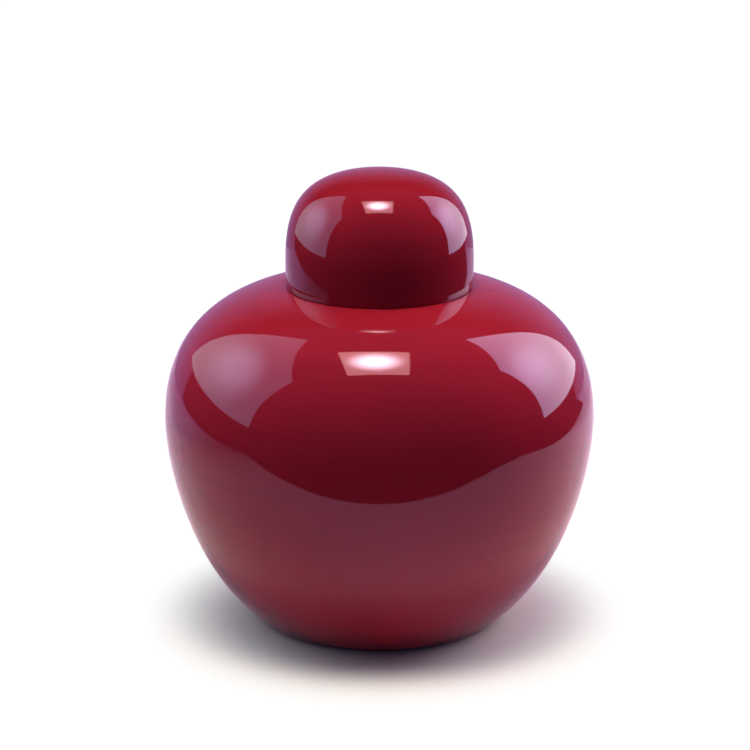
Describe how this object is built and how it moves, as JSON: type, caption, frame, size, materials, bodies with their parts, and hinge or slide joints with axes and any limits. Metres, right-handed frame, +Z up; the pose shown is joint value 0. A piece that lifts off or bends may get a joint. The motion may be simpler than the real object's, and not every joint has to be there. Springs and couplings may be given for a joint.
{
  "type": "lidded ginger jar",
  "caption": "Globular high-shouldered jar with a deep red gloss finish and a plain domed slip-over lid without a knob.",
  "frame": {"origin": "centre of the foot, on the surface that the jar stands on", "axes": "+Z up along the jar's axis of revolution, out through the mouth and the lid; X and Y are any two horizontal directions"},
  "size_m": [0.25, 0.25, 0.2654],
  "materials": {
    "red_glaze": "deep ox-blood red, full mirror gloss",
    "neck_glaze": "the same red gloss, bare at the foot of the collar",
    "lid_glaze": "the same red, full mirror gloss, bare ground rim"
  },
  "bodies": {
    "jar": {"jar_body": "red_glaze", "neck_collar": "neck_glaze"},
    "lid": {"lid": "lid_glaze"}
  },
  "joints": [
    {"name": "lid_lift", "type": "slide", "parent": "jar", "child": "lid", "axis": [0, 0, 1], "range_m": [0, 0.15]}
  ]
}
